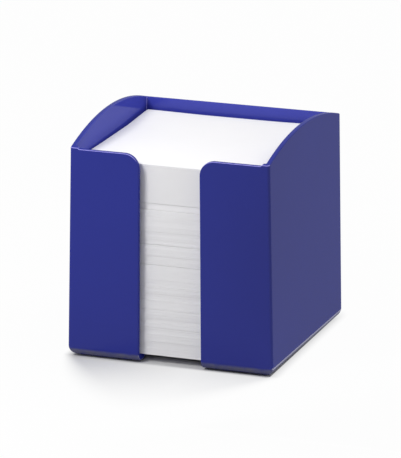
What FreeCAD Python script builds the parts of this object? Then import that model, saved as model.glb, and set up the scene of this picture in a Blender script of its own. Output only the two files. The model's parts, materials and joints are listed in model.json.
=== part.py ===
import FreeCAD, Part
import Sketcher
import os
import re

# Desk box for loose memo sheets: one moulded shell with arched side walls and an open
# front slot, and the stack of square sheets that stands in it. Millimetres, +Z up,
# the open front faces -Y, and the origin is the middle of the standing plane.
os.makedirs("parts", exist_ok=True)
doc = FreeCAD.newDocument("memo_box")

# Driving sizes of the shell and of the paper
driving_sizes = [
    ("box_width", 99.8, "outside width where the lower rounding ends"),
    ("box_depth", 98.3, "outside depth where the lower rounding ends"),
    ("panel_height", 98.45, "top of the front panels"),
    ("corner_rise", 0.45, "side walls at the front face above the panel tops"),
    ("arch_rise", 7.6, "crown of the arch above its ends at the front and back faces"),
    ("slope_share", 1.0, "width of the slopes up to the side walls, for their height"),
    ("slope_spare", 0.1, "height of a slope past the highest place where the arch cuts it off"),
    ("slope_round", 0.6, "roundings at both ends of a slope"),
    ("slope_gap", 0.75, "way left between a slope and the inner face of a side wall"),
    ("side_draft_share", 0.0207, "inward lean of each side wall for its height"),
    ("side_toe_share", 0.0134, "inward turn of each side wall towards the front, for its length"),
    ("end_draft_share", 0.0034, "outward lean of the front and back walls for their height"),
    ("wall", 2.2, "wall thickness"),
    ("floor_top", 3.75, "top of the floor that carries the paper"),
    ("floor_thick", 2.0, "thickness of the floor plate"),
    ("bottom_round", 4.5, "rounding of the lower outside edges"),
    ("corner_round", 1.3, "rounding of the upright outside corners"),
    ("inner_round", 0.5, "rounding where the floor meets the walls inside"),
    ("rim_round", 0.45, "rounding of the wall tops and of the slot edges"),
    ("slot_foot_width", 30.05, "front slot width at the standing plane"),
    ("slot_head_width", 28.75, "front slot width at the panel tops"),
    ("slot_round", 7.0, "rounding of the panel corners beside the slot"),
    ("notch_depth", 11.0, "depth of the floor notch behind the front face"),
    ("notch_round", 3.0, "rounding of the inner notch corners"),
    ("foot_rise", 0.6, "height of the standing rim below the shell"),
    ("foot_inset", 5.0, "standing rim set in from the outside faces"),
    ("foot_width", 3.0, "width of the standing rim"),
    ("foot_gap", 5.0, "free way between the slot and the ends of the rim"),
    ("sheet_thick", 0.1, "thickness of one memo sheet"),
    ("side_gap", 3.1, "play between the stack and the foot of each side wall"),
    ("front_gap", 2.05, "play between the stack and the foot of the front panels"),
    ("back_gap", 2.65, "play between the stack and the foot of the back wall"),
    ("head_gap", 5.4, "top of the full stack below the panel tops"),
    ("slip_width", 0.35, "sideways slip that one unit in the pack table stands for"),
    ("overrun", 3.0, "how far a cutting shape runs past the part"),
]
sheet = doc.addObject("Spreadsheet::Sheet", "sizes")
for row, (alias, value, note) in enumerate(driving_sizes, start=1):
    sheet.set("A%d" % row, note)
    sheet.set("B%d" % row, str(value))
    sheet.setAlias("B%d" % row, alias)
doc.recompute()
aliases = {alias for alias, value, note in driving_sizes}

# Heights and distances that several features share, written in the driving sizes
arch_foot = "(panel_height + corner_rise)"
block_top = "(%s + arch_rise + overrun)" % arch_foot
lean_level = "(foot_rise + bottom_round)"
wall_top_end = "(box_depth / 2 + end_draft_share * (panel_height - %s))" % lean_level
arch_radius = "((%s ^ 2 + arch_rise ^ 2) / (2 * arch_rise))" % wall_top_end
arch_end_share = "(%s / (%s - arch_rise))" % (wall_top_end, arch_radius)
slope_rise = "(corner_rise + wall * %s + slope_spare)" % arch_end_share
slot_lean_share = "((slot_foot_width - slot_head_width) / 2 / panel_height)"
sheet_width = "(box_width - 2 * (wall + side_gap))"
sheet_depth = "(box_depth - 2 * wall - front_gap - back_gap)"
stack_height = "(panel_height - head_gap - floor_top)"


def bound(text):
    # An expression in the sheet's words, each word pointed at its cell
    return re.sub(r"[a-z][a-z0-9_]*", lambda word: "sizes." + word.group(0)
                  if word.group(0) in aliases else word.group(0), text)


def number(text):
    return float(sheet.evalExpression(bound(text)))


def bind(feature, **expressions):
    for name, text in expressions.items():
        feature.setExpression(name, bound(text))


def half_depth(level, inset):
    # Distance of the leaning end planes from the middle at a level, set in by inset
    return "(box_depth / 2 + end_draft_share * (%s - %s) - %s)" % (level, lean_level, inset)


def half_width(end, level, inset):
    # Distance of the leaning side planes from the middle at a level and at the front or the
    # back wall, set in by inset
    lean = "side_draft_share * (%s - %s)" % (level, lean_level)
    turn = "side_toe_share * %s" % half_depth(level, inset)
    sign = "-" if end == "front" else "+"
    return "(box_width / 2 %s %s - %s - %s)" % (sign, turn, lean, inset)


def slot_half(level):
    # Distance of the slot sides from the middle at a level
    return "(slot_foot_width / 2 - %s * (%s))" % (slot_lean_share, level)


def outline(sketch, corners, arc_after=None, radius=None):
    # Closed outline through corners given as (across, up) expressions; the side after
    # corner arc_after is an upward arc of the given radius, all others are straight
    points = [FreeCAD.Vector(number(across), number(up), 0) for across, up in corners]
    count = len(points)
    for index, point in enumerate(points):
        following = points[(index + 1) % count]
        if index == arc_after:
            size = number(radius)
            chord_middle = (point + following) / 2
            drop = (size ** 2 - (following - point).Length ** 2 / 4) ** 0.5
            centre = chord_middle - FreeCAD.Vector(0, drop, 0)
            crown = centre + FreeCAD.Vector(0, size, 0)
            sketch.addGeometry(Part.Arc(point, crown, following), False)
        else:
            sketch.addGeometry(Part.LineSegment(point, following), False)
    start_of = {}
    end_of = {}
    for index, point in enumerate(points):
        marks = sorted((1, 2), key=lambda mark: (sketch.getPoint(index, mark) - point).Length)
        start_of[index], end_of[index] = marks
    for index in range(count):
        following = (index + 1) % count
        sketch.addConstraint(Sketcher.Constraint(
            "Coincident", index, end_of[index], following, start_of[following]))
    for index, (across, up) in enumerate(corners):
        for kind, text in (("DistanceX", across), ("DistanceY", up)):
            place = sketch.addConstraint(Sketcher.Constraint(
                kind, -1, 1, index, start_of[index], number(text)))
            sketch.setExpression("Constraints[%d]" % place, bound(text))
    if arc_after is not None:
        place = sketch.addConstraint(Sketcher.Constraint("Radius", arc_after, number(radius)))
        sketch.setExpression("Constraints[%d]" % place, bound(radius))


def edge_names(shape, wanted):
    return ["Edge%d" % (index + 1) for index, edge in enumerate(shape.Edges) if wanted(edge)]


def rounded(name, size, wanted):
    # Rolls a rounding along the chosen edges of the body as it stands
    doc.recompute()
    before = body.Tip
    feature = body.newObject("PartDesign::Fillet", name)
    feature.Base = (before, edge_names(before.Shape, wanted))
    bind(feature, Radius=size)
    doc.recompute()
    return feature


def sketch_on(role, name, offset="0"):
    # Sketch on one of the body's planes, moved along the plane's normal by offset
    sketch = body.newObject("Sketcher::SketchObject", name)
    sketch.AttachmentSupport = [(plane[role], "")]
    sketch.MapMode = "FlatFace"
    bind(sketch, **{"AttachmentOffset.Base.z": offset})
    return sketch


def leaning_block(kind, name, start, length, inset):
    # Pad upwards or pocket downwards from a level, with four sides that follow the leaning walls
    plan = sketch_on("XY_Plane", name + "_plan", start)
    front = half_width("front", start, inset)
    back = half_width("back", start, inset)
    end = half_depth(start, inset)
    outline(plan, [("-" + front, "-" + end), (front, "-" + end), (back, end), ("-" + back, end)])
    block = body.newObject("PartDesign::" + kind, name)
    block.Profile = plan
    bind(block, Length=length)
    lean_walls(name + "_sides", 0, "side_draft_share", "(%s + %s) / 2" % (front, back), start,
               kind == "Pocket")
    lean_walls(name + "_ends", 1, "end_draft_share", end, start, kind == "Pad")


def lean_walls(name, axis, share, reach, start, flipped):
    # Leans the two upright planes that stand at reach on both sides of the middle
    doc.recompute()
    before = body.Tip
    near = number("wall / 4")
    walls = []
    for index, face in enumerate(before.Shape.Faces, start=1):
        facing = face.normalAt(0, 0)
        middle = face.BoundBox.Center
        if abs(facing.z) > 1 - near and abs(middle.z - number(start)) < near:
            level = "Face%d" % index
        elif abs(facing[axis]) > abs(facing[1 - axis]) and abs(abs(middle[axis]) - number(reach)) < near:
            walls.append("Face%d" % index)
    lean = body.newObject("PartDesign::Draft", name)
    lean.Base = (before, walls)
    lean.NeutralPlane = (before, [level])
    lean.Reversed = flipped
    bind(lean, Angle="atan(%s)" % share)
    doc.recompute()


def slope_end(edge):
    # Short edges across the panel tops where a slope starts, or where it meets the arch
    box = edge.BoundBox
    across = box.YLength > max(number("wall / 2"), box.XLength) and box.Center.y < 0
    on_panel = number(slope_foot) < abs(box.Center.x) + number("rim_round") < number(slope_head)
    level = box.Center.z - number("panel_height")
    return across and on_panel and -number("rim_round") < level < number(slope_rise)


def upright(edge, shortest=0):
    box = edge.BoundBox
    return box.ZLength > max(box.XLength, box.YLength) and box.ZLength > shortest


def beside_slot(middle, level):
    # Whether a point lies on one of the slot sides at a level
    return abs(abs(middle.x) - number(slot_half(level))) < number("rim_round")


def well_edge(edge):
    # Edges between the floor and the walls, and between the walls, inside the well
    box = edge.BoundBox
    low = number("floor_top - rim_round")
    reach = number("box_depth / 2 - wall / 2")
    inside = max(abs(box.YMin), abs(box.YMax)) < reach + number("end_draft_share * panel_height")
    flat = box.ZLength < number("rim_round")
    on_floor = flat and low < box.ZMin < number("floor_top + rim_round")
    at_corner = upright(edge, number("panel_height / 2")) and box.ZMin > low
    return inside and (on_floor or at_corner)


def panel_corner(edge):
    # Short edges through the wall where the slot sides meet the panel tops
    box = edge.BoundBox
    return (beside_slot(box.Center, "panel_height") and box.Center.y < 0 and
            box.YLength > number("wall / 2") and
            abs(box.Center.z - number("panel_height")) < number("rim_round"))


def notch_corner(edge):
    # Upright edges through the floor plate at the back of the notch
    box = edge.BoundBox
    notch_back = number("notch_depth - box_depth / 2")
    return (upright(edge) and abs(box.Center.y - notch_back) < number("rim_round") and
            beside_slot(box.Center, "floor_top"))


def rim_faces(shape):
    # Wall tops, arches, the slopes between them, slot sides and panel corners beside the slot
    near = number("rim_round / 2")
    found = []
    for face in shape.Faces:
        first_u, last_u, first_v, last_v = face.ParameterRange
        facing = face.normalAt((first_u + last_u) / 2, (first_v + last_v) / 2)
        middle = face.BoundBox.Center
        on_top = facing.z > abs(facing.y) and middle.z > number("panel_height") - near
        bend = isinstance(face.Surface, Part.Cylinder) and \
            abs(face.Surface.Radius - number("slot_round")) < near
        slot_side = isinstance(face.Surface, Part.Plane) and abs(facing.x) > abs(facing.y) and \
            beside_slot(middle, str(middle.z))
        if on_top or bend or slot_side:
            found.append(face)
    return found


def rim_edge(shape):
    # Test for the edges where a rim face meets any other face, well above the floor
    on_rim = [edge for face in rim_faces(shape) for edge in face.Edges]
    lowest = number("floor_top + bottom_round")
    return lambda edge: (edge.BoundBox.ZMax > lowest and
                         sum(1 for other in on_rim if other.isSame(edge)) == 1)


# The moulded shell grows from one leaning block with a hollow for the paper, which leaves
# the wall thickness all round
body = doc.addObject("PartDesign::Body", "holder_box")
body.Label = "holder_box"
plane = {item.Role: item for item in body.Origin.OriginFeatures}
leaning_block("Pad", "shell_block", "foot_rise", "%s - foot_rise" % block_top, "0")
leaning_block("Pocket", "paper_well", block_top, "%s - floor_top" % block_top, "wall")

# Everything goes above one arch that runs from the front face to the back face
cut_top = "(%s + overrun)" % block_top
arch_sketch = sketch_on("YZ_Plane", "arch_outline")
cut_end = "(%s + overrun)" % wall_top_end
cut_low = "(%s + arch_rise - %s + sqrt(%s ^ 2 - %s ^ 2))" % (arch_foot, arch_radius, arch_radius, cut_end)
outline(arch_sketch, [("-" + cut_end, cut_low), (cut_end, cut_low),
                      (cut_end, cut_top), ("-" + cut_end, cut_top)],
        arc_after=0, radius=arch_radius)
arch_cut = body.newObject("PartDesign::Pocket", "arch_cut")
arch_cut.Profile = arch_sketch
arch_cut.SideType = "Symmetric"
bind(arch_cut, Length="box_width + 2 * overrun")

# Lower outside edges, then the upright corners that run down into them, then the hollow's edges
outer_end = half_depth("panel_height / 2", "wall / 2")
rounded("lower_edges", "bottom_round",
        lambda edge: edge.BoundBox.ZMax < number("foot_rise + rim_round"))
rounded("upright_corners", "corner_round",
        lambda edge: upright(edge, number("panel_height / 2")) and
        abs(edge.BoundBox.Center.y) > number(outer_end))
rounded("well_corners", "inner_round", well_edge)

# The front panels end lower than the arch, with a small slope up to each side wall
slope_head = "(%s - slope_gap)" % half_width("front", "panel_height", "wall")
slope_foot = "(%s - slope_share * %s)" % (slope_head, slope_rise)
slope_top = "(panel_height + %s)" % slope_rise
panel_top_sketch = sketch_on("XZ_Plane", "panel_top_outline", "box_depth / 2 + overrun")
outline(panel_top_sketch, [("-" + slope_foot, "panel_height"), (slope_foot, "panel_height"),
                           (slope_head, slope_top), (slope_head, cut_top),
                           ("-" + slope_head, cut_top), ("-" + slope_head, slope_top)])
panel_top = body.newObject("PartDesign::Pocket", "panel_top")
panel_top.Profile = panel_top_sketch
bind(panel_top, Length="overrun + 2 * wall")
rounded("panel_slopes", "slope_round", slope_end)

# Front slot, cut on through the floor as a finger notch
slot_sketch = sketch_on("XZ_Plane", "slot_outline", "box_depth / 2 + overrun")
slot_low = slot_half("-overrun")
slot_high = slot_half(block_top)
outline(slot_sketch, [("-" + slot_low, "-overrun"), (slot_low, "-overrun"),
                      (slot_high, block_top), ("-" + slot_high, block_top)])
slot = body.newObject("PartDesign::Pocket", "front_slot")
slot.Profile = slot_sketch
bind(slot, Length="notch_depth + overrun")
rounded("panel_corners", "slot_round", panel_corner)
rounded("notch_corners", "notch_round", notch_corner)
rounded("rim", "rim_round", rim_edge(body.Tip.Shape))

# Standing rim below, open at the front on both sides of the slot, and a shallow hollow
# inside it so that the floor is a thin plate
rim_side = "(box_width / 2 - foot_inset)"
rim_end = "(box_depth / 2 - foot_inset)"
hollow_side = "(%s - foot_width)" % rim_side
hollow_end = "(%s - foot_width)" % rim_end
rim_gap = "(slot_foot_width / 2 + foot_gap)"
foot_sketch = sketch_on("XY_Plane", "foot_outline")
outline(foot_sketch, [
    ("-" + rim_gap, "-" + rim_end), ("-" + rim_gap, "-" + hollow_end),
    ("-" + hollow_side, "-" + hollow_end), ("-" + hollow_side, hollow_end),
    (hollow_side, hollow_end), (hollow_side, "-" + hollow_end),
    (rim_gap, "-" + hollow_end), (rim_gap, "-" + rim_end),
    (rim_side, "-" + rim_end), (rim_side, rim_end),
    ("-" + rim_side, rim_end), ("-" + rim_side, "-" + rim_end)])
foot = body.newObject("PartDesign::Pad", "foot")
foot.Profile = foot_sketch
bind(foot, Length="floor_top - floor_thick")
hollow_sketch = sketch_on("XY_Plane", "hollow_outline")
outline(hollow_sketch, [("-" + hollow_side, "-" + hollow_end), (hollow_side, "-" + hollow_end),
                        (hollow_side, hollow_end), ("-" + hollow_side, hollow_end)])
hollow = body.newObject("PartDesign::Pocket", "floor_hollow")
hollow.Profile = hollow_sketch
hollow.Reversed = True
bind(hollow, Length="floor_top - floor_thick")
doc.recompute()

# The paper: packs of loose sheets from the floor up, parted where the stack shows a gap.
# Each row is a share of the stack's height and the pack's slip to the right and to the back
pack_shares = [
    (33, 0.1, -0.3), (33, -0.4, 0.1), (38, 0.3, -0.5), (29, -0.1, 0.2), (23, 0.6, -0.2),
    (19, -0.5, 0.4), (43, 0.2, -0.4), (47, -0.3, 0.0), (29, 0.5, 0.3), (33, -0.2, -0.3),
    (33, 0.4, 0.2), (71, -0.5, -0.1), (43, 0.1, 0.4), (52, -0.3, -0.2), (24, 0.6, 0.3),
    (38, 0.0, -0.1), (103, -0.2, -0.6), (30, 0.4, 0.9), (179, 0.0, 0.0),
]
share_total = sum(share for share, right, back in pack_shares)
packs_height = "(%s - sheet_thick)" % stack_height


def paper(name, thickness, level, right, back):
    # Block of paper on a level, slipped a little from its place
    block = doc.addObject("Part::Box", name)
    block.Label = name
    bind(block, Length=sheet_width, Width=sheet_depth, Height=thickness)
    bind(block, **{
        "Placement.Base.x": "(%s) * slip_width - %s / 2" % (right, sheet_width),
        "Placement.Base.y": "(%s) * slip_width + wall + front_gap - box_depth / 2" % back,
        "Placement.Base.z": level})
    return block


nodes = [body]
share_below = 0
for count, (share, right, back) in enumerate(pack_shares, start=1):
    nodes.append(paper("sheet_pack_%02d" % count,
                       "%s * %d / %d" % (packs_height, share, share_total),
                       "floor_top + %s * %d / %d" % (packs_height, share_below, share_total),
                       right, back))
    share_below += share
nodes.append(paper("top_sheet", "sheet_thick", "floor_top + " + packs_height, -0.1, 0.1))

# Every feature has to be sound before the pieces are written
doc.recompute()
for item in doc.Objects:
    if "Invalid" in item.State or "Error" in item.State:
        raise RuntimeError("%s did not build" % item.Name)
for node in nodes:
    if node.Shape.isNull() or not node.Shape.isValid():
        raise RuntimeError("%s has no sound shape" % node.Label)
    node.Shape.exportStep("parts/%s.step" % node.Label)
    print(node.Label, len(node.Shape.Solids), round(node.Shape.Volume))
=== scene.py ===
import bpy
import json
import math
import random
from mathutils import Euler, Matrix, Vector


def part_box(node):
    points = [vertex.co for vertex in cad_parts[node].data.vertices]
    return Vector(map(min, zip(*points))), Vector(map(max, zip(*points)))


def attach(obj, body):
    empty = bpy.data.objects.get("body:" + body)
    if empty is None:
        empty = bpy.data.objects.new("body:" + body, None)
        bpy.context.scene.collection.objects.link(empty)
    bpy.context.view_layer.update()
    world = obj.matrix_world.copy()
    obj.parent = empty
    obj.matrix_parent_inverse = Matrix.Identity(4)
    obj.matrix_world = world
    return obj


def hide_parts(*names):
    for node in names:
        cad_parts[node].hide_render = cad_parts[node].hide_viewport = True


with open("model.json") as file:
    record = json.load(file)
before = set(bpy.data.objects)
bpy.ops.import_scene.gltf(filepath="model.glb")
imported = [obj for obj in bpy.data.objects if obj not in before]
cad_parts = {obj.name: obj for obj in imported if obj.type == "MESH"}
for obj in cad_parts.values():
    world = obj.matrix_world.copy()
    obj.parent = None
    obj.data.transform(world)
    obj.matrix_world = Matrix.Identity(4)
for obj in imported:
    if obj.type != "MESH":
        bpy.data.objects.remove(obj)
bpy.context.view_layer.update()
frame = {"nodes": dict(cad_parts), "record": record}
print("frame loaded:", len(frame["nodes"]), "nodes")

bodyOf = {}
for body, members in frame["record"]["behaviour"]["bodies"].items():
    for member in members:
        bodyOf[member] = body


def pickNone():
    bpy.ops.object.select_all(action="DESELECT")


def pickOnly(*objects):  # the last one becomes active
    pickNone()
    for item in objects:
        item.select_set(True)
        bpy.context.view_layer.objects.active = item


def settle(piece):  # place, turn and size go into the mesh
    pickOnly(piece)
    bpy.ops.object.transform_apply(location=True, rotation=True, scale=True)


def dropChoice(piece, kind):  # no edges or no points chosen
    pickOnly(piece)
    bpy.ops.object.mode_set(mode="EDIT")
    bpy.ops.mesh.select_mode(type=kind)
    bpy.ops.mesh.select_all(action="DESELECT")
    bpy.ops.object.mode_set(mode="OBJECT")


def pickEdges(piece, wanted):  # edit mode, edges chosen by their two end points
    dropChoice(piece, "EDGE")
    points = piece.data.vertices
    for edge in piece.data.edges:
        first, second = (points[index].co for index in edge.vertices)
        edge.select = wanted(first, second)
    bpy.ops.object.mode_set(mode="EDIT")


def pickPoints(piece, wanted):  # edit mode, points chosen by their place
    dropChoice(piece, "VERT")
    for point in piece.data.vertices:
        point.select = wanted(point.co)
    bpy.ops.object.mode_set(mode="EDIT")


def newMaterial(name):
    material = bpy.data.materials.new(name)
    material.use_nodes = True
    return material, material.node_tree, material.node_tree.nodes["Principled BSDF"]


def addNode(tree, kind, place, inputs=None, **settings):
    made = tree.nodes.new(kind)
    made.location = place
    for key, value in settings.items():
        setattr(made, key, value)
    for key, value in (inputs or {}).items():
        made.inputs[key].default_value = value
    return made


def addMath(tree, place, operation, inputs=None):
    return addNode(tree, "ShaderNodeMath", place, inputs, operation=operation)


def addVector(tree, place, operation, inputs=None):
    return addNode(tree, "ShaderNodeVectorMath", place, inputs, operation=operation)


def addRange(tree, place, start, end=(0.0, 1.0), **settings):
    return addNode(tree, "ShaderNodeMapRange", place,
                   {"From Min": start[0], "From Max": start[1],
                    "To Min": end[0], "To Max": end[1]}, **settings)


def addMix(tree, place, colour):  # from the colour at A to this one
    mix = addNode(tree, "ShaderNodeMix", place, data_type="RGBA")
    mix.inputs["B"].default_value = colour
    return mix


def dress(piece, material):
    piece.data.materials.clear()
    piece.data.materials.append(material)


# glossy moulded plastic of the box; a tone starts at the first value of a pair, full at the second
plastic = {
    "colour": (0.0150, 0.0242, 0.272, 1.0),
    "deepColour": (0.0140, 0.0220, 0.247, 1.0),
    "insideColour": (0.054, 0.065, 0.430, 1.0),  # painted glow: the inner walls are painted lighter, standing in for light from outside that passes through the plastic
    "insideFacing": (-0.01, -0.03),
    "cornerColour": (0.28, 0.26, 0.74, 1.0),  # painted highlight: light line in the upright inner corners at the back
    "cornerFacing": (-0.25, -0.42),
    "rimColour": (0.34, 0.32, 0.80, 1.0),  # painted highlight: light line along the upper edge of the front panels
    "rimUp": 0.7,  # how far its rounding looks up
    "rimBand": 0.22,
    "rimForward": (-0.20, -0.45),  # and how far it looks to the front
    "rimPlace": (-0.0478, -0.0484),
    "reflectionColour": (0.115, 0.116, 0.20, 1.0),  # painted reflection of the floor: a greyer tone on the lower rounding and the underside
    "reflectionAndScuffFacing": (-0.08, -0.42),
    "reflectionAndScuffHaze": (0.3, 0.6),
    "reflectionAndScuffShare": (0.4, 1.0),  # strength of the painted reflection and of the scuffs at these two haze values
    "wornRough": 0.2,
    "lineColour": (0.44, 0.44, 0.62, 1.0),  # painted highlight: light line where the side walls turn under
    "lineUp": -0.2,  # looks a little down
    "lineBand": 0.1,
    "lineSide": (0.6, 0.9),
    "roughHaze": (0.3, 0.7),
    "rough": (0.22, 0.34),  # at these two haze values
    "specular": 0.0,  # the coat gives all the gloss
    "coat": 0.24,
    "coatRough": 0.06,
    "coatIor": 1.8,
    "flow": {"Scale": 26.0, "Detail": 3.0, "Roughness": 0.5},  # broad flow marks of the mould
    "haze": {"Scale": 240.0, "Detail": 6.0, "Roughness": 0.6},  # wiping haze
    "peel": {"Scale": 1500.0, "Detail": 2.0},  # fine skin of the surface
    "peelBump": {"Strength": 0.3, "Distance": 0.000004},
}


def makePlastic():
    material, tree, shader = newMaterial("bluePlastic")
    link = tree.links.new
    where = addNode(tree, "ShaderNodeTexCoord", (-1400, 0))
    flow = addNode(tree, "ShaderNodeTexNoise", (-1100, 250), plastic["flow"])
    haze = addNode(tree, "ShaderNodeTexNoise", (-1100, 0), plastic["haze"])
    peel = addNode(tree, "ShaderNodeTexNoise", (-1100, -250), plastic["peel"])
    for texture in (flow, haze, peel):
        link(where.outputs["Object"], texture.inputs["Vector"])
    facing = addNode(tree, "ShaderNodeSeparateXYZ", (-1100, 500))
    place = addNode(tree, "ShaderNodeSeparateXYZ", (-1100, 1250))
    flank = addMath(tree, (-1100, 2250), "ABSOLUTE")
    link(where.outputs["Normal"], facing.inputs[0])
    link(where.outputs["Object"], place.inputs[0])
    link(facing.outputs["X"], flank.inputs[0])

    tone = addMix(tree, (-600, 250), plastic["colour"])
    tone.inputs["A"].default_value = plastic["deepColour"]
    link(flow.outputs["Fac"], tone.inputs["Factor"])

    # painted glow on the inner walls, which look back to the middle
    across = addVector(tree, (-1100, 1000), "MULTIPLY", {1: (1.0, 1.0, 0.0)})
    outward = addVector(tree, (-850, 1000), "DOT_PRODUCT")
    inside = addRange(tree, (-600, 1000), plastic["insideFacing"])
    wallColour = addMix(tree, (-450, 400), plastic["insideColour"])
    link(where.outputs["Object"], across.inputs[0])
    link(across.outputs[0], outward.inputs[0])
    link(where.outputs["Normal"], outward.inputs[1])
    link(outward.outputs["Value"], inside.inputs["Value"])
    link(inside.outputs["Result"], wallColour.inputs["Factor"])
    link(tone.outputs["Result"], wallColour.inputs["A"])

    # painted highlight in the inner corners at the back, which look sideways and forward at once
    bend = addMath(tree, (-850, 2500), "MULTIPLY")
    nook = addRange(tree, (-600, 2500), plastic["cornerFacing"])
    corner = addMath(tree, (-380, 2500), "MULTIPLY")
    nookColour = addMix(tree, (-380, 1000), plastic["cornerColour"])
    link(flank.outputs[0], bend.inputs[0])
    link(facing.outputs["Y"], bend.inputs[1])
    link(bend.outputs[0], nook.inputs["Value"])
    link(nook.outputs["Result"], corner.inputs[0])
    link(inside.outputs["Result"], corner.inputs[1])
    link(corner.outputs[0], nookColour.inputs["Factor"])
    link(wallColour.outputs["Result"], nookColour.inputs["A"])

    # painted highlight along the upper edge of the panels
    front = addRange(tree, (-850, 1250), plastic["rimPlace"])
    upward = addMath(tree, (-850, 1500), "COMPARE", {1: plastic["rimUp"], 2: plastic["rimBand"]})
    forward = addRange(tree, (-850, 1750), plastic["rimForward"])
    edge = addMath(tree, (-600, 1600), "MULTIPLY")
    rim = addMath(tree, (-600, 1350), "MULTIPLY")
    rimColour = addMix(tree, (-380, 700), plastic["rimColour"])
    link(place.outputs["Y"], front.inputs["Value"])
    link(facing.outputs["Z"], upward.inputs[0])
    link(facing.outputs["Y"], forward.inputs["Value"])
    link(upward.outputs[0], edge.inputs[0])
    link(forward.outputs["Result"], edge.inputs[1])
    link(front.outputs["Result"], rim.inputs[0])
    link(edge.outputs[0], rim.inputs[1])
    link(rim.outputs[0], rimColour.inputs["Factor"])
    link(nookColour.outputs["Result"], rimColour.inputs["A"])

    # lower rounding: first the painted grey reflection, then the painted highlight line on the
    # sides
    low = addRange(tree, (-850, 500), plastic["reflectionAndScuffFacing"], interpolation_type="SMOOTHSTEP")
    reflectionAndScuffPatches = addRange(tree, (-850, 750), plastic["reflectionAndScuffHaze"], plastic["reflectionAndScuffShare"])
    reflectionAndScuff = addMath(tree, (-600, 600), "MULTIPLY")
    reflectionTone = addMix(tree, (-300, 350), plastic["reflectionColour"])
    link(facing.outputs["Z"], low.inputs["Value"])
    link(haze.outputs["Fac"], reflectionAndScuffPatches.inputs["Value"])
    link(low.outputs["Result"], reflectionAndScuff.inputs[0])
    link(reflectionAndScuffPatches.outputs["Result"], reflectionAndScuff.inputs[1])
    link(reflectionAndScuff.outputs[0], reflectionTone.inputs["Factor"])
    link(rimColour.outputs["Result"], reflectionTone.inputs["A"])
    turned = addMath(tree, (-850, 2000), "COMPARE", {1: plastic["lineUp"], 2: plastic["lineBand"]})
    sideways = addRange(tree, (-850, 2250), plastic["lineSide"])
    line = addMath(tree, (-600, 2100), "MULTIPLY")
    footColour = addMix(tree, (-150, 350), plastic["lineColour"])
    link(facing.outputs["Z"], turned.inputs[0])
    link(flank.outputs[0], sideways.inputs["Value"])
    link(turned.outputs[0], line.inputs[0])
    link(sideways.outputs["Result"], line.inputs[1])
    link(line.outputs[0], footColour.inputs["Factor"])
    link(reflectionTone.outputs["Result"], footColour.inputs["A"])
    link(footColour.outputs["Result"], shader.inputs["Base Color"])

    # gloss and skin
    gloss = addRange(tree, (-600, 0), plastic["roughHaze"], plastic["rough"])
    skinRough = addMath(tree, (-300, 50), "MULTIPLY_ADD", {1: plastic["wornRough"]})
    skin = addNode(tree, "ShaderNodeBump", (-600, -250), plastic["peelBump"])
    link(haze.outputs["Fac"], gloss.inputs["Value"])
    link(reflectionAndScuff.outputs[0], skinRough.inputs[0])
    link(gloss.outputs["Result"], skinRough.inputs[2])
    link(skinRough.outputs[0], shader.inputs["Roughness"])
    link(peel.outputs["Fac"], skin.inputs["Height"])
    link(skin.outputs["Normal"], shader.inputs["Normal"])
    link(skin.outputs["Normal"], shader.inputs["Coat Normal"])
    shader.inputs["Specular IOR Level"].default_value = plastic["specular"]
    shader.inputs["Coat Weight"].default_value = plastic["coat"]
    shader.inputs["Coat Roughness"].default_value = plastic["coatRough"]
    shader.inputs["Coat IOR"].default_value = plastic["coatIor"]
    return material


bluePlastic = makePlastic()
dress(frame["nodes"]["holder_box"], bluePlastic)
print("box dressed")

# white writing paper
paper = {
    "colour": (0.93, 0.925, 0.93, 1.0),
    "shadeColour": (0.90, 0.893, 0.903, 1.0),
    "cloud": {"Scale": 60.0, "Detail": 5.0, "Roughness": 0.65},  # uneven tone of the pulp
    "fibre": {"Scale": 1400.0, "Detail": 4.0, "Roughness": 0.7, "Distortion": 0.8},
    "fibreBump": {"Strength": 0.4, "Distance": 0.00004},
    "roughFibre": (0.3, 0.7),
    "rough": (0.78, 0.9),  # at these two fibre values
    "specular": 0.2,
}


def makePaper():
    material, tree, shader = newMaterial("memoPaper")
    link = tree.links.new
    where = addNode(tree, "ShaderNodeTexCoord", (-1200, 0))
    cloud = addNode(tree, "ShaderNodeTexNoise", (-900, 250), paper["cloud"])
    fibre = addNode(tree, "ShaderNodeTexNoise", (-900, -100), paper["fibre"])
    tone = addMix(tree, (-400, 250), paper["colour"])
    tone.inputs["A"].default_value = paper["shadeColour"]
    rough = addRange(tree, (-400, 0), paper["roughFibre"], paper["rough"])
    felt = addNode(tree, "ShaderNodeBump", (-400, -250), paper["fibreBump"])
    for texture in (cloud, fibre):
        link(where.outputs["Object"], texture.inputs["Vector"])
    link(cloud.outputs["Fac"], tone.inputs["Factor"])
    link(fibre.outputs["Fac"], rough.inputs["Value"])
    link(fibre.outputs["Fac"], felt.inputs["Height"])
    link(tone.outputs["Result"], shader.inputs["Base Color"])
    link(rough.outputs["Result"], shader.inputs["Roughness"])
    link(felt.outputs["Normal"], shader.inputs["Normal"])
    shader.inputs["Specular IOR Level"].default_value = paper["specular"]
    return material


memoPaper = makePaper()

# the stack: every pack is a pile of single sheets, a few of them out of line together
stack = {
    "sheetThick": 0.0001,
    "fill": 0.93,  # share of the pitch that is paper
    "cuts": 3,  # cuts along each side of a sheet
    "gaps": (2, 2, 2, 3.5, 3.5, 4, 3, 2, 6.5, 2.5,
             3.5, 7.5, 2, 5.5, 2, 4, 4.5, 8, 0),  # at the pack heads, from the floor up
    "gapSize": 0.00002,  # one step of a gap
    "group": (2, 7),  # sheets that lie in line with each other
    "groupSlip": 0.00006,
    "groupTurn": 0.05,  # degrees
    "slip": 0.00002,
    "neatPack": "sheet_pack_19",  # fresh sheets on top, well knocked together
    "neatShare": 0.5,
    "ripple": 0.0001,
    "rippleSize": 0.03,
    "rippleDepth": 1,
    "seed": 11,
}
chance = random.Random(stack["seed"])
ripple = bpy.data.textures.new("sheetRipple", "CLOUDS")
ripple.noise_scale = stack["rippleSize"]
ripple.noise_depth = stack["rippleDepth"]


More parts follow.
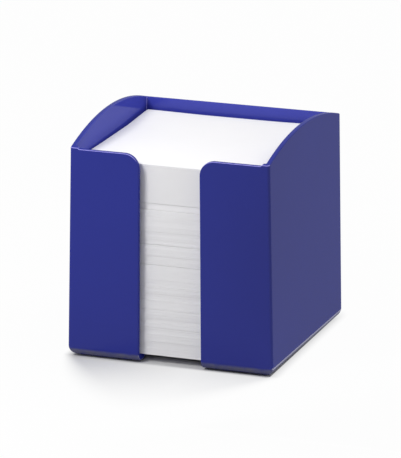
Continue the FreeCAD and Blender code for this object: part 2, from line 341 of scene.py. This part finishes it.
def makeLeaf():  # one flat sheet at the origin, cut into a coarse grid
    low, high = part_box("top_sheet")
    pickNone()
    bpy.ops.mesh.primitive_cube_add(size=1.0, location=(0.0, 0.0, 0.0))
    leaf = bpy.context.object
    leaf.name = "leaf"
    leaf.scale = (high.x - low.x, high.y - low.y, stack["sheetThick"] * stack["fill"])
    settle(leaf)
    pickEdges(leaf, lambda first, second: abs(first.z - second.z) < stack["sheetThick"] / 2)
    bpy.ops.mesh.subdivide(number_cuts=stack["cuts"])
    bpy.ops.object.mode_set(mode="OBJECT")
    return leaf


def rippled(piece):  # the soft waves that run through the whole stack
    pickOnly(piece)
    wave = piece.modifiers.new("wave", "DISPLACE")
    wave.texture = ripple
    wave.texture_coords = "LOCAL"
    wave.direction = "Z"
    wave.mid_level = 0.0
    wave.strength = stack["ripple"]
    bpy.ops.object.modifier_apply(modifier=wave.name)


def stackPack(leaf, node, gap):
    low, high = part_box(node)
    middle = (low + high) / 2
    loose = stack["neatShare"] if node == stack["neatPack"] else 1.0
    count = round((high.z - low.z) / stack["sheetThick"])
    pitch = (high.z - low.z - gap) / count
    left = 0
    sheets = []
    for index in range(count):
        if left == 0:
            left = chance.randint(*stack["group"])
            right = loose * chance.gauss(0.0, stack["groupSlip"])
            back = loose * chance.gauss(0.0, stack["groupSlip"])
            turn = loose * chance.gauss(0.0, stack["groupTurn"])
        left -= 1
        copy = leaf.copy()
        copy.data = leaf.data.copy()
        bpy.context.collection.objects.link(copy)
        copy.location = (middle.x + right + chance.gauss(0.0, stack["slip"]),
                         middle.y + back + chance.gauss(0.0, stack["slip"]),
                         low.z + (index + 0.5) * pitch)
        copy.rotation_euler = (0.0, 0.0, math.radians(turn))
        sheets.append(copy)
    pickOnly(*sheets)
    bpy.ops.object.join()
    pack = bpy.context.object
    pack.name = node.replace("sheet_pack", "sheets")
    settle(pack)
    rippled(pack)
    dress(pack, memoPaper)
    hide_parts(node)
    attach(pack, bodyOf[node])
    return count


leaf = makeLeaf()
packNodes = sorted(name for name in frame["nodes"] if name.startswith("sheet_pack"))
sheetCount = sum(stackPack(leaf, node, gap * stack["gapSize"])
                 for node, gap in zip(packNodes, stack["gaps"]))
bpy.data.objects.remove(leaf)
print("stack built:", sheetCount, "sheets in", len(packNodes), "packs")

# the loose sheet on top, its edge lifted a little at the back and at the corners
topSheet = {
    "cuts": 16,
    "edge": 0.044,  # points further out than this from the middle
    "backLift": 0.0005,
    "cornerLift": 0.0004,
    "reach": 0.03,
    "thick": 0.0001,
    "smoothAngle": 40.0,  # degrees
}


def liftPoints(sheet, wanted, lift):
    pickPoints(sheet, wanted)
    bpy.ops.transform.translate(value=(0.0, 0.0, lift), use_proportional_edit=True,
                                proportional_edit_falloff="SMOOTH",
                                proportional_size=topSheet["reach"])
    bpy.ops.object.mode_set(mode="OBJECT")


def makeTopSheet():
    low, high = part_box("top_sheet")
    middle = (low + high) / 2
    edge = topSheet["edge"]
    pickNone()
    bpy.ops.mesh.primitive_grid_add(x_subdivisions=topSheet["cuts"],
                                    y_subdivisions=topSheet["cuts"],
                                    size=1.0, location=(middle.x, middle.y, low.z))
    sheet = bpy.context.object
    sheet.name = "looseSheet"
    sheet.scale = (high.x - low.x, high.y - low.y, 1.0)
    settle(sheet)
    liftPoints(sheet, lambda at: at.y - middle.y > edge, topSheet["backLift"])
    liftPoints(sheet, lambda at: abs(at.x - middle.x) > edge and abs(at.y - middle.y) > edge,
               topSheet["cornerLift"])
    thick = sheet.modifiers.new("thick", "SOLIDIFY")
    thick.thickness = topSheet["thick"]
    thick.offset = 1.0
    bpy.ops.object.modifier_apply(modifier=thick.name)
    rippled(sheet)
    bpy.ops.object.shade_smooth_by_angle(angle=math.radians(topSheet["smoothAngle"]))
    dress(sheet, memoPaper)
    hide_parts("top_sheet")
    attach(sheet, bodyOf["top_sheet"])


makeTopSheet()
print("top sheet laid")

# pale floor with the shadow in front of the box, painted white further away
floorSheet = {
    "size": 8.0,
    "colour": (0.68, 0.68, 0.68, 1.0),
    "rough": 0.9,
    "specular": 0.0,
    "clear": (0.0472, 0.0467, 0.0),  # half the ground that the box covers
    "reach": (170.0, 13.0, 0.0),  # one over the way to white ground, sideways and forward
    "narrow": 0.9,  # the shade runs to a point in front of the box
    "spread": 100.0,  # growth of the sideways way for each metre in front of the box
    "behind": 0.2,  # way to white ground behind the box, as a share of that in front
    "turn": 0.01,  # half the width of the change between front and back
    "leftGlow": 0.08,  # share of white next to the box, where the shade is deeper on the left
    "rightGlow": 0.64,
    "leanEnd": 0.01,  # from here to the right the share stays the same
    "nearReach": 0.03,  # part of the way on which the dark line at the foot fades
    "farGlow": 0.97,
}


def seenRays(tree):  # 1 for what the camera sees, straight or in gloss and glass
    path = addNode(tree, "ShaderNodeLightPath", (-900, 400))
    seen = addMath(tree, (-700, 400), "MAXIMUM")
    shown = addMath(tree, (-500, 400), "MAXIMUM")
    tree.links.new(path.outputs["Is Camera Ray"], seen.inputs[0])
    tree.links.new(path.outputs["Is Glossy Ray"], seen.inputs[1])
    tree.links.new(seen.outputs[0], shown.inputs[0])
    tree.links.new(path.outputs["Is Transmission Ray"], shown.inputs[1])
    return shown.outputs[0]


def makeFloor():
    pickNone()
    bpy.ops.mesh.primitive_plane_add(size=floorSheet["size"], location=(0.0, 0.0, 0.0))
    floor = bpy.context.object
    floor.name = "floor"
    material, tree, shader = newMaterial("paleFloor")
    link = tree.links.new
    shader.inputs["Base Color"].default_value = floorSheet["colour"]
    shader.inputs["Roughness"].default_value = floorSheet["rough"]
    shader.inputs["Specular IOR Level"].default_value = floorSheet["specular"]
    halfWide, halfDeep, _ = floorSheet["clear"]
    where = addNode(tree, "ShaderNodeTexCoord", (-1700, 0))
    place = addNode(tree, "ShaderNodeSeparateXYZ", (-1500, -400))
    link(where.outputs["Object"], place.inputs[0])

    # way from the edge of the box, narrowed in front
    side = addVector(tree, (-1500, 0), "ABSOLUTE")
    past = addVector(tree, (-1300, 0), "SUBTRACT", {1: floorSheet["clear"]})
    front = addMath(tree, (-1300, -250), "SUBTRACT", {0: -halfDeep})
    ahead = addMath(tree, (-1100, -250), "MAXIMUM", {1: 0.0})
    point = addVector(tree, (-1200, 200), "MULTIPLY_ADD", {1: (floorSheet["narrow"], 0.0, 0.0)})
    away = addVector(tree, (-1100, 0), "MAXIMUM", {1: (0.0, 0.0, 0.0)})
    share = addVector(tree, (-900, 0), "MULTIPLY", {1: floorSheet["reach"]})
    link(where.outputs["Object"], side.inputs[0])
    link(side.outputs[0], past.inputs[0])
    link(place.outputs["Y"], front.inputs[1])
    link(front.outputs[0], ahead.inputs[0])
    link(ahead.outputs[0], point.inputs[0])
    link(past.outputs[0], point.inputs[2])
    link(point.outputs[0], away.inputs[0])
    link(away.outputs[0], share.inputs[0])

    # softer to the sides in front, shorter behind
    back = addRange(tree, (-1300, -400), (-floorSheet["turn"], floorSheet["turn"]),
                    (1.0, floorSheet["behind"]))
    softer = addMath(tree, (-900, -250), "MULTIPLY_ADD", {1: floorSheet["spread"], 2: 1.0})
    ways = addNode(tree, "ShaderNodeCombineXYZ", (-700, -250), {"Z": 1.0})
    fair = addVector(tree, (-700, 150), "DIVIDE")
    far = addVector(tree, (-700, 0), "LENGTH")
    link(place.outputs["Y"], back.inputs["Value"])
    link(ahead.outputs[0], softer.inputs[0])
    link(softer.outputs[0], ways.inputs["X"])
    link(back.outputs["Result"], ways.inputs["Y"])
    link(share.outputs[0], fair.inputs[0])
    link(ways.outputs[0], fair.inputs[1])
    link(fair.outputs[0], far.inputs[0])

    # share of white
    lean = addRange(tree, (-700, 350), (-halfWide, floorSheet["leanEnd"]),
                    (floorSheet["leftGlow"], floorSheet["rightGlow"]))
    near = addRange(tree, (-500, 100), (0.0, floorSheet["nearReach"]))
    wide = addRange(tree, (-500, -150), (0.0, 1.0), interpolation_type="SMOOTHSTEP")
    glow = addNode(tree, "ShaderNodeMix", (-300, 0), data_type="FLOAT")
    glow.inputs["B"].default_value = floorSheet["farGlow"]
    link(place.outputs["X"], lean.inputs["Value"])
    link(far.outputs["Value"], near.inputs["Value"])
    link(lean.outputs["Result"], near.inputs["To Max"])
    link(far.outputs["Value"], wide.inputs["Value"])
    link(wide.outputs["Result"], glow.inputs["Factor"])
    link(near.outputs["Result"], glow.inputs["A"])

    # white only for what the camera sees
    shown = addMath(tree, (-100, 200), "MULTIPLY")
    white = addNode(tree, "ShaderNodeEmission", (100, -300))
    choice = addNode(tree, "ShaderNodeMixShader", (400, 100))
    link(seenRays(tree), shown.inputs[0])
    link(glow.outputs["Result"], shown.inputs[1])
    link(shown.outputs[0], choice.inputs[0])
    link(shader.outputs[0], choice.inputs[1])
    link(white.outputs[0], choice.inputs[2])
    link(choice.outputs[0], tree.nodes["Material Output"].inputs["Surface"])
    dress(floor, material)


makeFloor()

# dark card that takes some light off the right panel, out of the camera's sight
shadeCard = {
    "place": (0.085, -0.125, 0.077),
    "size": (0.10, 0.15, 1.0),
    "colour": (0.02, 0.02, 0.02, 1.0),
}


def makeCard():
    pickNone()
    bpy.ops.mesh.primitive_plane_add(size=1.0, location=shadeCard["place"])
    card = bpy.context.object
    card.name = "shadeCard"
    card.scale = shadeCard["size"]
    card.rotation_euler = (math.radians(90.0), 0.0, 0.0)
    card.visible_camera = False
    card.visible_glossy = False
    material, _, shader = newMaterial("darkCard")
    shader.inputs["Base Color"].default_value = shadeCard["colour"]
    dress(card, material)


makeCard()

# soft light from high behind on the right and a fill from the front left, in a pale room
studio = {
    "keyFrom": (0.45, 0.28, 0.85),
    "keyStrength": 1.15,
    "keySpread": 50.0,  # degrees across
    "room": (0.45, 0.45, 0.455, 1.0),
    "white": (1.0, 1.0, 1.0, 1.0),
    "fill": {"place": (-0.14, -0.31, 0.36), "aim": (-0.02, -0.03, 0.08),
             "size": (0.11, 0.11), "power": 0.95},
}


def makeLamp(name, lamp):
    pickNone()
    bpy.ops.object.light_add(type="AREA", location=lamp["place"])
    item = bpy.context.object
    item.name = name
    item.data.shape = "RECTANGLE"
    item.data.size, item.data.size_y = lamp["size"]
    item.data.energy = lamp["power"]
    way = Vector(lamp["place"]) - Vector(lamp["aim"])
    item.rotation_euler = way.to_track_quat("Z", "Y").to_euler()
    item.visible_camera = False
    item.visible_glossy = False  # its small square would sparkle on the thin rims


def makeLight():
    pickNone()
    bpy.ops.object.light_add(type="SUN", location=Vector(studio["keyFrom"]))
    key = bpy.context.object
    key.name = "keyLight"
    key.data.energy = studio["keyStrength"]
    key.data.angle = math.radians(studio["keySpread"])
    key.rotation_euler = Vector(studio["keyFrom"]).to_track_quat("Z", "Y").to_euler()
    makeLamp("fillLight", studio["fill"])
    world = bpy.data.worlds.new("room")
    world.use_nodes = True
    bpy.context.scene.world = world
    tree = world.node_tree
    link = tree.links.new
    room = tree.nodes["Background"]
    room.inputs["Color"].default_value = studio["room"]
    white = addNode(tree, "ShaderNodeBackground", (0, -150), {"Color": studio["white"]})
    choice = addNode(tree, "ShaderNodeMixShader", (200, 0))
    link(seenRays(tree), choice.inputs[0])
    link(room.outputs[0], choice.inputs[1])
    link(white.outputs[0], choice.inputs[2])
    link(choice.outputs[0], tree.nodes["World Output"].inputs["Surface"])


makeLight()
bpy.context.scene.view_settings.view_transform = "Standard"

# long lens from the front right, a little above
viewPoint = {
    "azimuth": 19.573,
    "elevation": 16.213,
    "roll": 0.056,
    "distance": 1.8936,
    "aimHeight": 0.05,
    "aimRight": -0.00242,
    "aimUp": 0.00181,
    "lens": 323.64,
    "sensor": 36.0,
    "clipEnd": 20.0,
}


def makeCamera():
    turn = Euler((math.radians(90.0 - viewPoint["elevation"]), 0.0,
                  math.radians(viewPoint["azimuth"]))).to_matrix()
    right, up, back = turn.col
    aim = (Vector((0.0, 0.0, viewPoint["aimHeight"]))
           + right * viewPoint["aimRight"] + up * viewPoint["aimUp"])
    pickNone()
    bpy.ops.object.camera_add(location=aim + back * viewPoint["distance"])
    camera = bpy.context.object
    camera.name = "camera"
    roll = Euler((0.0, 0.0, math.radians(viewPoint["roll"]))).to_matrix()
    camera.rotation_euler = (turn @ roll).to_euler()
    camera.data.lens = viewPoint["lens"]
    camera.data.sensor_width = viewPoint["sensor"]
    camera.data.clip_end = viewPoint["clipEnd"]
    bpy.context.scene.camera = camera


makeCamera()
print("floor, light and camera set")
